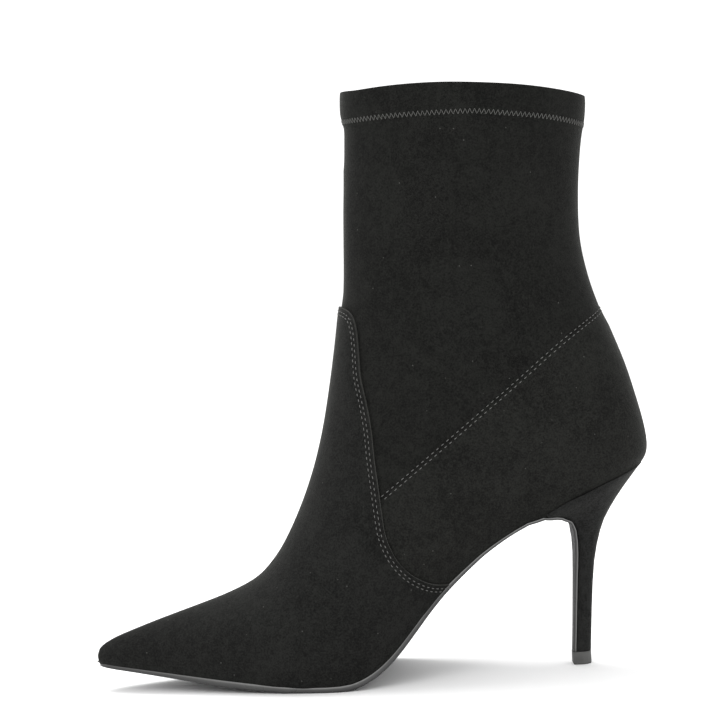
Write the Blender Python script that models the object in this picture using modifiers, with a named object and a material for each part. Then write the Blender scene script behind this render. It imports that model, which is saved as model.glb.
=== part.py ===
"""A pointed stiletto ankle bootie for the right foot, as an assembly of closed solids.

Metres, +Z up, the floor at z = 0. The toe points along -X, the medial side is -Y and the
lateral side is +Y. The bootie stands on the ball of its sole and on its heel's top piece.
"""

import math

import bmesh
import bpy

# Driving sizes
LENGTH = 0.2458
BALL_WIDTH = 0.0725
HEIGHT = 0.2555

# The tables below are in millimetres, on a base last of this length, ball width and height.
BASE_LENGTH = 245.8
BASE_BALL_WIDTH = 72.5
BASE_HEIGHT = 255.5

# Walls and clearances
GAP = 0.0003
UPPER_WALL = 0.0014
CUFF_WALL = 0.0027
VAMP_WALL = 0.0009
QUARTER_WALL = 0.0005
INSOLE_THICK = 0.002
INSOLE_INSET = 0.0036
UPPER_INSET = 0.0012

# Points round half of a section, above its widest place and below it
TOP_STEPS = 7
LOW_STEPS = 6

# How much closer together the points lie towards a base that is rounded off
BASE_CROWDING = 0.5
OPEN_TUCK = 70
CROWDED_TUCK = 83

# Ends of the sole's outline, and how they are rounded, on the base last
TOE_X = -122.4
HEEL_X = 120.7
TOE_ROUND = 7.0
SEAT_X = 90.0
SEAT_FULLNESS = 2.3

# The lateral side of the arch breaks further back: millimetres of x for each one of y
ARCH_SKEW = 0.14
SKEW_ENDS_X = (30.0, 90.0)


def table(columns, *rows):
    """Rows of numbers with named columns."""
    return [dict(zip(columns.split(), row)) for row in rows]


# Half widths of the sole's outline along the foot. The rounding of both ends is a formula.
OUTLINE = table(
    "x medial lateral",
    (-122.4, 4.4, 4.4),
    (-115, 6.6, 6.9),
    (-105, 9.8, 10.7),
    (-90, 14.7, 16.7),
    (-70, 21.6, 24.8),
    (-50, 28.3, 31.7),
    (-30, 33.1, 36.5),
    (-15, 34.6, 37.9),
    (0, 32.7, 37.1),
    (15, 28.2, 34.2),
    (30, 24.0, 30.7),
    (45, 21.9, 27.8),
    (60, 22.3, 26.3),
    (75, 24.2, 25.9),
    (90, 25.6, 26.2),
    (121, 25.6, 26.2),
)

# Height of the featherline, where the upper meets the sole, along the centre of the foot
FEATHER = table(
    "x z",
    (-122.4, 12.9),
    (-112, 11.6),
    (-98, 9.9),
    (-84, 8.2),
    (-66, 6.1),
    (-47, 4.2),
    (-33, 2.95),
    (-22, 2.65),
    (-13, 2.75),
    (-7, 3.6),
    (-1, 5.8),
    (6, 10.4),
    (13, 17.2),
    (20, 25.4),
    (27, 33.6),
    (35.5, 42.2),
    (49.5, 54.4),
    (62, 62.8),
    (73, 69.2),
    (84, 74.5),
    (95, 79.3),
    (106.5, 83.8),
    (115, 86.8),
    (122, 89.3),
)

# Thickness of the sole's leather along the foot
SOLE = table(
    "x thick",
    (-122.4, 1.4),
    (-95, 1.9),
    (-80, 2.5),
    (-68, 2.8),
    (-45, 2.7),
    (-25, 2.6),
    (0, 2.6),
    (20, 2.2),
    (38, 1.6),
    (55, 1.1),
    (68, 1.0),
    (76, 1.2),
)

# The flap of the sole down the heel's front: its outer face, half width and thickness
FLAP = table(
    "x z half thick",
    (78.4, 67.4, 21.6, 1.2),
    (83.0, 66.0, 18.2, 1.2),
    (86.2, 63.2, 14.6, 1.25),
    (88.1, 59.4, 11.6, 1.2),
    (88.8, 55.0, 9.3, 1.2),
    (88.8, 48.5, 7.4, 1.2),
    (88.2, 38.5, 5.7, 1.2),
    (87.5, 27.5, 4.7, 1.2),
    (86.8, 16.0, 4.0, 1.2),
    (86.1, 5.9, 3.6, 1.2),
)

# Sections of the upper, fanned from upright at the toe to level at the collar. Each runs from
# the featherline or the back of the heel (base) to the ridge of the instep or the shaft's front.
# base_half is the half width at a base that lies on the back, before the back is rounded off.
# widest is the height of the widest place as a share of the section, full is the roundness above
# it, tuck is how far round the lower part turns in, in degrees, lift raises the sides, and rows
# is how many rows the step to the next section takes.
SECTIONS = table(
    "ridge_x ridge_z base_x base_z base_half medial lateral widest full tuck lift rows",
    (-121.2, 17.3, -122.4, None, 4, 4.6, 4.6, 0.34, 2.0, 70, 0, 1),
    (-119.7, 19.3, -121.7, None, 4, 4.9, 4.9, 0.34, 2.0, 70, 0, 1),
    (-117.0, 20.9, -119.9, None, 5, 5.6, 5.6, 0.33, 2.0, 70, 0, 1),
    (-112.8, 22.8, -115.6, None, 6, 6.9, 7.2, 0.33, 2.0, 70, 0, 1),
    (-105.5, 25.4, -107, None, 9, 9.6, 10.4, 0.32, 2.0, 70, 0, 1),
    (-93.5, 29.5, -93.5, None, 12, 14.1, 15.9, 0.31, 1.95, 70, 0, 1),
    (-73.0, 35.8, -70.5, None, 21, 22.2, 25.6, 0.3, 1.9, 70, 0, 2),
    (-53.2, 43.6, -41, None, 31, 32.3, 36.0, 0.3, 1.9, 70, 0, 2),
    (-40.7, 55.2, -17, None, 34, 36.2, 39.6, 0.3, 1.9, 70, 0, 3),
    (-29.6, 74.8, 3, None, 33, 35.6, 39.2, 0.32, 1.9, 70, 0, 3),
    (-21.1, 96.4, 21, None, 28, 33.8, 37.2, 0.35, 1.95, 70, 0, 2),
    (-15.4, 118.0, 38, None, 25, 33.2, 36.0, 0.4, 2.0, 70, 0, 2),
    (-10.6, 142.5, 60, None, 24, 33.0, 35.0, 0.46, 2.1, 70, 0, 2),
    (-8.0, 158.2, 88, None, 24.7, 33.4, 34.6, 0.5, 2.2, 70, 0, 1),
    (-6.8, 164.2, 103, None, 24.7, 33.6, 34.5, 0.51, 2.2, 71, 0, 1),
    (-6.0, 168.6, 112.6, None, 24.8, 33.8, 34.4, 0.52, 2.2, 74, 0, 1),
    (-5.7, 171.6, 118.2, None, 25.0, 34.0, 34.4, 0.52, 2.2, 78, 0, 1),
    (-5.5, 174.0, 120.7, None, 25.4, 34.1, 34.4, 0.52, 2.2, 83, 0, 1),
    (-5.3, 177.0, 121.4, 91.6, 26.6, 34.2, 34.4, 0.52, 2.2, 88, 0, 1),
    (-5.0, 182.5, 122.2, 97.0, 28.2, 34.3, 34.5, 0.52, 2.2, 90, 0, 1),
    (-4.7, 189.0, 120.9, 106.5, 29.6, 34.4, 34.6, 0.52, 2.2, 90, 0, 2),
    (-4.0, 203.0, 114.1, 132.5, 31.0, 34.6, 34.7, 0.51, 2.15, 90, 0.4, 2),
    (-3.2, 215.0, 102.9, 164.0, 33.0, 34.8, 34.8, 0.5, 2.1, 90, 1.2, 2),
    (-2.6, 226.0, 98.3, 189.0, 35.0, 35.2, 35.2, 0.5, 2.05, 90, 2.0, 2),
    (-2.0, 236.5, 99.6, 218.0, 36.0, 36.2, 36.2, 0.5, 2.05, 90, 3.2, 1),
    (-1.9, 240.6, 101.8, 234.2, 37.0, 37.0, 37.0, 0.5, 2.05, 90, 3.8, 1),
    (-2.9, 241.3, 102.8, 234.9, 37.9, 37.9, 37.9, 0.5, 2.05, 90, 3.8, 1),
    (-2.9, 248.5, 103.7, 242.0, 38.3, 38.3, 38.3, 0.5, 2.05, 90, 4.0, 1),
    (-2.4, 254.9, 103.6, 248.1, 38.2, 38.2, 38.2, 0.5, 2.05, 90, 4.0, 1),
)

# The back of the heel and shaft from the seat up, and how deep and how full its rounding is
BACK = table(
    "z x depth full",
    (88.6, 119.5, 29.5, 2.3),
    (91.6, 121.4, 32.0, 2.3),
    (97.0, 122.2, 34.0, 2.3),
    (106.5, 120.9, 36.0, 2.3),
    (132.5, 114.1, 40.0, 2.25),
    (164.0, 102.9, 44.0, 2.2),
    (189.0, 98.3, 48.0, 2.1),
    (218.0, 99.6, 50.5, 2.05),
    (234.2, 101.8, 52.0, 2.05),
    (234.9, 102.8, 52.5, 2.05),
    (242.0, 103.7, 53.0, 2.05),
)
CUFF_ROWS = 3

# The vamp's back edge, seen from the side, from its tongue down to the sole
VAMP_EDGE = table(
    "x z",
    (-14, 163.1),
    (-8.3, 163.1),
    (-3.6, 160.6),
    (-1.5, 154.5),
    (-1.0, 144.7),
    (-0.7, 133.2),
    (1.2, 122.0),
    (2.6, 111.0),
    (3.2, 98.8),
    (4.2, 87.1),
    (5.1, 76.5),
    (6.3, 66.0),
    (9.6, 57.0),
    (14.6, 50.2),
    (20.8, 45.4),
    (27.5, 42.6),
    (38, 41.2),
)

# The diagonal seam at the quarter's top, seen from the side, and how much of the edge above
# it the quarter leaves out
SEAM = table("x z", (28.7, 99.3), (59.8, 123.4), (85.6, 143.7), (105.5, 155.7), (122, 163.5))
SEAM_START_Z = 80.6

# Heel sections under the seat: the front and back of each, its half width, the half width of
# its flat front, and the share of its depth where it is widest
HEEL = table(
    "front_x front_z back_x back_z half front_half widest",
    (77.9, 69.5, 119.2, 86.9, 24.9, 22.9, 0.33),
    (80.8, 68.9, 116.0, 82.9, 22.4, 19.8, 0.33),
    (84.7, 67.4, 112.5, 78.5, 19.5, 16.3, 0.34),
    (87.8, 64.7, 109.1, 74.0, 16.5, 13.1, 0.35),
    (89.6, 61.1, 106.0, 69.4, 13.9, 10.7, 0.36),
    (90.4, 56.7, 103.1, 64.5, 11.6, 8.9, 0.38),
    (90.6, 51.9, 100.9, 58.9, 9.8, 7.5, 0.4),
    (90.4, 46.2, 99.1, 52.6, 8.4, 6.4, 0.42),
    (90.1, 39.5, 97.6, 45.2, 7.2, 5.4, 0.44),
    (89.6, 31.5, 96.5, 36.0, 6.1, 4.6, 0.45),
    (88.9, 22.0, 95.6, 25.5, 5.2, 4.0, 0.46),
    (88.3, 13.0, 94.8, 14.8, 4.6, 3.6, 0.47),
    (87.8, 5.9, 94.2, 5.9, 4.2, 3.4, 0.48),
)
HEEL_SIDE_STEPS = 9
HEEL_FRONT_STEPS = 3
HEEL_FULLNESS = 2.1
SEAT_FRONT_X = 77.5

# The top piece, under the heel's tip and the end of the flap
LIFT_FRONT_X = 85.9
LIFT_BACK_X = 94.2
LIFT_HALF = 4.3
LIFT_FRONT_HALF = 3.7
LIFT_HEIGHT = 0.0056
LIFT_EDGE = 0.0004

LIFT_WIDEST = 0.48

# Faces across the sole and the insole, the sole's two ends, where its rows lie closer together,
# how far its stations keep from its heel end, and what the heel's rim keeps from the upper
SOLE_ACROSS = 6
INSOLE_ACROSS = 4
SOLE_TIP_X = -122.2
SOLE_END_X = 74.6
ARCH_ENDS_X = (-35, 24)
STATION_SPACE = 2
SEAT_CLEARANCE = 0.00045

# Extra rows that round the insole's two ends, measured from its toe and from its heel
INSOLE_TOE_ROWS = (0.6, 2.2)
INSOLE_HEEL_ROWS = (3.0, 1.2, 0.3)
INSOLE_ROW_SPACE = 1.5

# How far the cutters reach to each side, below the sole, and beyond the toe and the heel
CUT_SIDE = 60
CUT_DEPTH = 40
CUT_END_X = 150


def clear_scene():
    for old in list(bpy.data.objects):
        bpy.data.objects.remove(old, do_unlink=True)
    for old in list(bpy.data.collections):
        bpy.data.collections.remove(old)


def smooth(rows, key, column, at):
    """A column's value at a place along the key column, on a smooth curve through the rows."""
    last = len(rows) - 1
    if at <= rows[0][key]:
        return rows[0][column]
    if at >= rows[last][key]:
        return rows[last][column]
    i = max(n for n in range(last) if rows[n][key] <= at)

    def slope(n):
        low = max(n - 1, 0)
        high = min(n + 1, last)
        return (rows[high][column] - rows[low][column]) / (rows[high][key] - rows[low][key])

    step = rows[i + 1][key] - rows[i][key]
    t = (at - rows[i][key]) / step
    return (
        (2 * t**3 - 3 * t**2 + 1) * rows[i][column]
        + (t**3 - 2 * t**2 + t) * step * slope(i)
        + (3 * t**2 - 2 * t**3) * rows[i + 1][column]
        + (t**3 - t**2) * step * slope(i + 1)
    )


def place(x, y, z):
    """A point of the base last, in millimetres, scaled to the driving sizes, in metres."""
    return (
        x * LENGTH / BASE_LENGTH,
        y * BALL_WIDTH / BASE_BALL_WIDTH,
        z * HEIGHT / BASE_HEIGHT,
    )


def mm(size):
    return size * 1000


def drawn_in(x, inset):
    """x on an outline whose two ends lie inset closer together."""
    middle = (TOE_X + HEEL_X) / 2
    reach = (HEEL_X - TOE_X) / 2
    return middle + (x - middle) * (reach - inset) / reach


def drawn_out(x, inset):
    """The outline's own x for a place on the outline that is drawn in."""
    middle = (TOE_X + HEEL_X) / 2
    reach = (HEEL_X - TOE_X) / 2
    return middle + (x - middle) * reach / (reach - inset)


def nose_round(x):
    t = min(1.0, max(0.0, (x - TOE_X) / TOE_ROUND))
    return math.sqrt(1 - (1 - t) ** 2)


def half_width(x, side, inset=0.0):
    """Half width of the sole's outline at x, before its ends are drawn in by inset."""
    width = smooth(OUTLINE, "x", side, x) - inset
    if x > SEAT_X:
        t = min(1.0, (x - SEAT_X) / (HEEL_X - SEAT_X))
        width *= (1 - t**SEAT_FULLNESS) ** (1 / SEAT_FULLNESS)
    return width * nose_round(x)


def feather_z(x, y):
    """Height of the featherline's surface, with the arch skewed across the foot."""
    start, end = SKEW_ENDS_X
    fade = min(1.0, max(0.0, (end - x) / (end - start)))
    return smooth(FEATHER, "x", "z", x - ARCH_SKEW * y * fade)


def slope_at(x, y):
    """Angle of that surface along the foot."""
    step = 0.5
    return math.atan2(feather_z(x + step, y) - feather_z(x - step, y), 2 * step)


def power(value, exponent):
    return max(0.0, value) ** exponent


def back_round(x, z):
    """Share of the full half width that the rounded back leaves at x, z."""
    depth = smooth(BACK, "z", "depth", z)
    full = smooth(BACK, "z", "full", z)
    t = min(1.0, max(0.0, (x - smooth(BACK, "z", "x", z) + depth) / depth))
    return (1 - t**full) ** (1 / full)


def half_section(row, side, base_half):
    """(y, height share) of half a section, from its ridge down to its base."""
    top = row[side] * nose_round(row["base_x"])
    widest = row["widest"]
    points = []
    for i in range(TOP_STEPS + 1):
        angle = math.radians(90) * i / TOP_STEPS
        y = top * power(math.sin(angle), 2 / row["full"])
        points.append((y, widest + (1 - widest) * power(math.cos(angle), 2 / row["full"])))
    end = math.radians(row["tuck"])
    crowding = min(1.0, (row["tuck"] - OPEN_TUCK) / (CROWDED_TUCK - OPEN_TUCK)) * BASE_CROWDING
    for i in range(1, LOW_STEPS + 1):
        angle = end * (1 - (1 - i / LOW_STEPS) ** (1 + crowding))
        across = (math.cos(angle) - math.cos(end)) / (1 - math.cos(end))
        down = math.sin(angle) / math.sin(end)
        points.append((base_half + (top - base_half) * across, widest * (1 - down)))
    return points


def section_rows():
    """Every row of the upper's skin, on a smooth curve through the sections.

    Up to the seat a row is open: its base lies on the featherline and not on the back.
    """
    inset = mm(UPPER_INSET)
    names = list(SECTIONS[0])
    for number, section in enumerate(SECTIONS):
        section["number"] = number
        if section["base_z"] is None:
            section["open"] = True
            section["base_z"] = feather_z(drawn_in(section["base_x"], inset), 0)
    rows = []
    for section, after in zip(SECTIONS, SECTIONS[1:]):
        is_open = "open" in section and "open" in after
        for i in range(section["rows"]):
            at = section["number"] + i / section["rows"]
            row = {name: smooth(SECTIONS, "number", name, at) for name in names}
            row["open"] = is_open or (i == 0 and "open" in section)
            rows.append(row)
    rows.append(dict(SECTIONS[-1], open=False))
    return rows


def skin_row(row):
    """Points of one row, from the medial base over the ridge to the lateral base."""
    inset = mm(UPPER_INSET)
    base_x = drawn_in(row["base_x"], inset) if row["open"] else row["base_x"]
    base_z = feather_z(base_x, 0) if row["open"] else row["base_z"]
    points = []
    for side, sign in (("medial", -1), ("lateral", 1)):
        base_half = row["base_half"]
        if row["open"]:
            outline = smooth(OUTLINE, "x", side, row["base_x"])
            base_half = (outline - inset) * nose_round(row["base_x"])
        half = []
        for y, share in half_section(row, side, base_half):
            x = base_x + (row["ridge_x"] - base_x) * share
            z = base_z + (row["ridge_z"] - base_z) * share
            y *= back_round(x, z)
            if row["open"]:
                z += (feather_z(base_x, sign * y) - feather_z(base_x, 0)) * (1 - share) ** 2
            z += row["lift"] * (y / row[side]) ** 2
            half.append(place(x, sign * y, z))
        if not row["open"]:
            half[-1] = place(base_x, 0, base_z)
        points += half[::-1] if sign < 0 else half[1:]
    return points


def new_object(name, mesh, collection, finish):
    piece = bpy.data.objects.new(name, mesh)
    if finish:
        mesh.materials.append(finish)
    collection.objects.link(piece)
    return piece


def new_cutter(name, mesh, cutters):
    """A cutter takes no finish and isn't rendered."""
    cutter = new_object(name, mesh, cutters, None)
    cutter.hide_render = True
    cutter.display_type = "WIRE"
    return cutter


def material(name, colour, roughness):
    """Nothing on the bootie is metal."""
    made = bpy.data.materials.new(name)
    made.use_nodes = True
    shader = made.node_tree.nodes["Principled BSDF"]
    shader.inputs["Base Color"].default_value = (*colour, 1.0)
    shader.inputs["Roughness"].default_value = roughness
    shader.inputs["Metallic"].default_value = 0.0
    return made


def skin_mesh(name, rows):
    """The upper's skin, open at the featherline and the collar, closed round the heel's back."""
    body = bmesh.new()
    cuff = body.verts.layers.deform.verify()
    grid = []
    for number, row in enumerate(rows):
        line = [body.verts.new(point) for point in skin_row(row)]
        share = 1.0 if number >= len(rows) - CUFF_ROWS else UPPER_WALL / CUFF_WALL
        for vert in line:
            vert[cuff][0] = share
        grid.append(line)
    for low, high in zip(grid, grid[1:]):
        for i in range(len(low) - 1):
            body.faces.new((low[i], low[i + 1], high[i + 1], high[i]))
    bmesh.ops.remove_doubles(body, verts=body.verts, dist=1e-6)
    bmesh.ops.dissolve_degenerate(body, edges=body.edges, dist=1e-6)
    bmesh.ops.recalc_face_normals(body, faces=body.faces)
    mesh = bpy.data.meshes.new(name)
    body.to_mesh(mesh)
    body.free()
    mesh.shade_smooth()
    return mesh


def split_faces(piece):
    """Splits the faces alike in the upper and in what lies on it, so that they stay apart."""
    split = piece.modifiers.new("triangles", "TRIANGULATE")
    split.quad_method = "FIXED"


def add_upper(parts, rows, suede):
    piece = new_object("upper", skin_mesh("upper", rows), parts, suede)
    piece.vertex_groups.new(name="wall")
    wall = piece.modifiers.new("wall", "SOLIDIFY")
    wall.thickness = CUFF_WALL
    wall.offset = -1
    wall.vertex_group = "wall"
    split_faces(piece)
    return piece


def smooth_line(rows, steps=4):
    """Points on a smooth curve through the rows of an x, z table."""
    for number, row in enumerate(rows):
        row["number"] = number
    count = (len(rows) - 1) * steps
    ats = [number / steps for number in range(count + 1)]
    return [(smooth(rows, "number", "x", at), smooth(rows, "number", "z", at)) for at in ats]


def moved_back(line, distance):
    """An x, z line moved sideways, towards the heel."""
    moved = []
    for i, (x, z) in enumerate(line):
        ahead = line[min(i + 1, len(line) - 1)]
        behind = line[max(i - 1, 0)]
        run = (ahead[0] - behind[0], ahead[1] - behind[1])
        size = math.hypot(*run)
        moved.append((x - run[1] / size * distance, z + run[0] / size * distance))
    return moved


def add_cutter(name, outline, cutters):
    """A prism across the bootie, with this outline in the side view."""
    body = bmesh.new()
    face = body.faces.new([body.verts.new(place(x, -CUT_SIDE, z)) for x, z in outline])
    far = bmesh.ops.extrude_face_region(body, geom=[face])
    width = 2 * CUT_SIDE * BALL_WIDTH / BASE_BALL_WIDTH
    moved = [item for item in far["geom"] if isinstance(item, bmesh.types.BMVert)]
    bmesh.ops.translate(body, verts=moved, vec=(0, width, 0))
    bmesh.ops.recalc_face_normals(body, faces=body.faces)
    mesh = bpy.data.meshes.new(name)
    body.to_mesh(mesh)
    body.free()
    return new_cutter(name, mesh, cutters)


def add_overlay(name, parts, rows, thick, cutter, ground, suede):
    """A leather piece laid over the upper: its skin, raised, thickened and cut to outline."""
    piece = new_object(name, skin_mesh(name, rows), parts, suede)
    wall = piece.modifiers.new("wall", "SOLIDIFY")
    wall.thickness = thick
    wall.offset = 1 + 2 * GAP / thick
    split_faces(piece)
    cut = piece.modifiers.new("outline", "BOOLEAN")
    cut.operation = "INTERSECT"
    cut.solver = "EXACT"
    cut.object = cutter
    trim = piece.modifiers.new("sole", "BOOLEAN")
    trim.operation = "DIFFERENCE"
    trim.solver = "EXACT"
    trim.object = ground
    return piece


def add_ground(rows, cutters):
    """What lies under the featherline, from which the overlays keep clear."""
    rings = []
    for x in [-CUT_END_X, *all_stations(rows), CUT_END_X]:
        ys = [-CUT_SIDE, *across(x, 0, SOLE_ACROSS), CUT_SIDE]
        tops = [place(x, y, feather_z(x, y)) for y in ys]
        rings.append(across_ring([place(x, y, -CUT_DEPTH) for y in ys], tops))
    return new_cutter("ground", loft("ground", rings), cutters)


def vamp_outline():
    """The vamp in the side view: all that lies in front of its back edge."""
    edge = smooth_line(VAMP_EDGE)
    low = (edge[-1][0], -CUT_DEPTH)
    return [*edge, low, (-CUT_END_X, -CUT_DEPTH), (-CUT_END_X, edge[0][1])]


def quarter_outline():
    """The quarter in the side view: behind the vamp's edge and under the diagonal seam."""
    edge = moved_back(smooth_line(VAMP_EDGE), mm(GAP))
    edge = [point for point in edge if point[1] < SEAM_START_Z]
    seam = smooth_line([dict(x=edge[0][0], z=edge[0][1]), *SEAM])
    low_x = edge[-1][0] + mm(GAP)
    low = [(low_x, edge[-1][1]), (low_x, -CUT_DEPTH), (CUT_END_X, -CUT_DEPTH)]
    return [*edge, *low, (CUT_END_X, seam[-1][1]), *seam[:0:-1]]


def loft(name, rings):
    """A closed solid through rings of equally many points, capped at both ends."""
    body = bmesh.new()
    grid = [[body.verts.new(point) for point in ring] for ring in rings]
    count = len(rings[0])
    for low, high in zip(grid, grid[1:]):
        for i in range(count):
            following = (i + 1) % count
            body.faces.new((low[i], low[following], high[following], high[i]))
    body.faces.new(grid[0])
    body.faces.new(grid[-1])
    bmesh.ops.remove_doubles(body, verts=body.verts, dist=1e-6)
    bmesh.ops.dissolve_degenerate(body, edges=body.edges, dist=1e-6)
    bmesh.ops.recalc_face_normals(body, faces=body.faces)
    mesh = bpy.data.meshes.new(name)
    body.to_mesh(mesh)
    body.free()
    mesh.shade_smooth()
    mesh.set_sharp_from_angle(angle=math.radians(40))
    return mesh


def across_ring(lows, highs):
    """A ring from the medial to the lateral edge below, and back above."""
    return [*lows, *highs[::-1]]


def across(x, inset, steps):
    """y values across the outline at x, from the medial edge to the lateral one."""
    u = drawn_out(x, inset)
    medial = -half_width(u, "medial", inset)
    lateral = half_width(u, "lateral", inset)
    return [medial + (lateral - medial) * i / steps for i in range(steps + 1)]


def foot_stations(rows):
    """Where along the foot the upper's open rows meet the sole."""
    inset = mm(UPPER_INSET)
    return [drawn_in(row["base_x"], inset) for row in rows if row["open"]]


def sole_stations(rows):
    """The upper's stations as far as the heel, and between them where the arch bends."""
    known = [x for x in foot_stations(rows) if x < SOLE_END_X - STATION_SPACE]
    stations = [SOLE_TIP_X, *known, SOLE_END_X]
    start, end = ARCH_ENDS_X
    between = [(a + b) / 2 for a, b in zip(stations, stations[1:]) if a > start and b < end]
    return sorted(stations + between)


def all_stations(rows):
    """The sole's stations, and the upper's behind them on the seat."""
    seat = [x for x in foot_stations(rows) if x > SOLE_END_X + STATION_SPACE]
    return sole_stations(rows) + seat


def sole_ring(x):
    """One section of the sole under the upper."""
    thick = smooth(SOLE, "x", "thick", x)
    tops = []
    bottoms = []
    for y in across(x, 0, SOLE_ACROSS):
        lean = slope_at(x, y)
        z = feather_z(x, y) - mm(GAP)
        tops.append(place(x, y, z))
        bottoms.append(place(x + thick * math.sin(lean), y, max(0, z - thick * math.cos(lean))))
    return across_ring(bottoms, tops)


def flap_ring(number):
    """One section of the flap that runs down the front of the heel."""
    row = FLAP[number]
    ahead = FLAP[min(number + 1, len(FLAP) - 1)]
    behind = FLAP[max(number - 1, 0)]
    run = (ahead["x"] - behind["x"], ahead["z"] - behind["z"])
    size = math.hypot(*run)
    inward = (-run[1] / size * row["thick"], run[0] / size * row["thick"])
    ys = [row["half"] * (2 * i / SOLE_ACROSS - 1) for i in range(SOLE_ACROSS + 1)]
    outer = [place(row["x"], y, row["z"]) for y in ys]
    inner = [place(row["x"] + inward[0], y, row["z"] + inward[1]) for y in ys]
    return across_ring(outer, inner)


def add_outsole(parts, rows, leather):
    rings = [sole_ring(x) for x in sole_stations(rows)]
    rings += [flap_ring(number) for number in range(len(FLAP))]
    return new_object("outsole", loft("outsole", rings), parts, leather)


def insole_stations(rows):
    """The sole's and the seat's stations, and a few more that round the insole's two ends."""
    inset = mm(INSOLE_INSET)
    toe = [drawn_in(TOE_X, inset) + step for step in INSOLE_TOE_ROWS]
    heel = [drawn_in(HEEL_X, inset) - step for step in INSOLE_HEEL_ROWS]
    low = toe[-1] + INSOLE_ROW_SPACE
    high = heel[0] - INSOLE_ROW_SPACE
    return toe + [x for x in all_stations(rows) if low < x < high] + heel


def add_insole(parts, rows, lining):
    thick = mm(INSOLE_THICK)
    rings = []
    for x in insole_stations(rows):
        lows = []
        highs = []
        for y in across(x, mm(INSOLE_INSET), INSOLE_ACROSS):
            lean = slope_at(x, y)
            z = feather_z(x, y)
            lows.append(place(x, y, z))
            highs.append(place(x - thick * math.sin(lean), y, z + thick * math.cos(lean)))
        rings.append(across_ring(lows, highs))
    return new_object("insole", loft("insole", rings), parts, lining)


def heel_half(share, row):
    """Half width of a heel section at a share of its depth, from its flat front."""
    widest = row["widest"]
    if share < widest:
        return row["half"] - (row["half"] - row["front_half"]) * (1 - share / widest) ** 2
    t = (share - widest) / (1 - widest)
    return row["half"] * power(1 - t**HEEL_FULLNESS, 1 / HEEL_FULLNESS)


def heel_shares():
    return [math.sin(math.radians(90) * i / HEEL_SIDE_STEPS) for i in range(HEEL_SIDE_STEPS + 1)]


def heel_ring(half_at, point_at):
    """A D-shaped ring: a flat front, the lateral side to the back, and the medial side."""
    shares = heel_shares()
    ring = []
    for i in range(1, HEEL_FRONT_STEPS):
        across_front = 2 * i / HEEL_FRONT_STEPS - 1
        side = math.copysign(1, across_front)
        ring.append(point_at(0, half_at(0, side) * abs(across_front), side))
    ring += [point_at(share, half_at(share, 1), 1) for share in shares]
    ring += [point_at(share, half_at(share, -1), -1) for share in shares[-2::-1]]
    return ring


def seat_ring():
    """The heel's top rim, on the seat's outline just under the upper."""
    end = HEEL_X - mm(GAP)

    def half_at(share, sign):
        x = SEAT_FRONT_X + (end - SEAT_FRONT_X) * share
        return half_width(x * HEEL_X / end, "lateral" if sign > 0 else "medial")

    def point_at(share, half, sign):
        x = SEAT_FRONT_X + (end - SEAT_FRONT_X) * share
        return place(x, sign * half, feather_z(x, sign * half) - mm(SEAT_CLEARANCE))

    return heel_ring(half_at, point_at)


def lower_heel_ring(row):
    """A ring of the heel, or of its top piece, from a row of front, back and widths."""

    def point_at(share, half, sign):
        x = row["front_x"] + (row["back_x"] - row["front_x"]) * share
        return place(x, sign * half, row["front_z"] + (row["back_z"] - row["front_z"]) * share)

    return heel_ring(lambda share, sign: heel_half(share, row), point_at)


def add_heel(parts, suede):
    rings = [seat_ring(), *[lower_heel_ring(row) for row in HEEL]]
    return new_object("heel", loft("heel", rings), parts, suede)


def add_top_piece(parts, rubber):
    """The lift, with a small bevel round its tread."""
    rings = []
    edge = mm(LIFT_EDGE)
    for z, inset in ((0, edge), (edge, 0), (mm(LIFT_HEIGHT), 0)):
        row = dict(
            front_x=LIFT_FRONT_X + inset,
            back_x=LIFT_BACK_X - inset,
            front_z=z,
            back_z=z,
            half=LIFT_HALF - inset,
            front_half=LIFT_FRONT_HALF - inset,
            widest=LIFT_WIDEST,
        )
        rings.append(lower_heel_ring(row))
    return new_object("top_piece", loft("top_piece", rings), parts, rubber)


def main():
    clear_scene()
    parts = bpy.data.collections.new("stiletto_ankle_bootie")
    cutters = bpy.data.collections.new("cutters")
    cutters.hide_render = True
    bpy.context.scene.collection.children.link(parts)
    bpy.context.scene.collection.children.link(cutters)
    suede = material("black suede", (0.017, 0.018, 0.017), 0.95)
    vamp_suede = material("black suede, vamp", (0.019, 0.02, 0.019), 0.95)
    quarter_suede = material("black suede, quarter", (0.019, 0.019, 0.018), 0.95)
    heel_suede = material("black suede, heel cover", (0.018, 0.018, 0.018), 0.95)
    sole_leather = material("black sole leather", (0.02, 0.02, 0.021), 0.4)
    lining = material("insole sock", (0.05, 0.045, 0.04), 0.8)
    rubber = material("top piece rubber", (0.08, 0.08, 0.078), 0.6)
    rows = section_rows()
    add_upper(parts, rows, suede)
    vamp_cutter = add_cutter("vamp_cutter", vamp_outline(), cutters)
    quarter_cutter = add_cutter("quarter_cutter", quarter_outline(), cutters)
    ground = add_ground(rows, cutters)
    add_overlay("vamp", parts, rows, VAMP_WALL, vamp_cutter, ground, vamp_suede)
    add_overlay("quarter", parts, rows, QUARTER_WALL, quarter_cutter, ground, quarter_suede)
    add_insole(parts, rows, lining)
    add_outsole(parts, rows, sole_leather)
    add_heel(parts, heel_suede)
    add_top_piece(parts, rubber)


main()
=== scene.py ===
# The looks of a black suede stiletto ankle bootie, a right shoe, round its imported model.
# Metres, +Z up. The toe points along -X, the medial side is -Y and the floor is z = 0.
import math

import bmesh
import bpy
import numpy as np
from mathutils import Matrix, Vector
from mathutils.bvhtree import BVHTree
from mathutils.kdtree import KDTree


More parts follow.
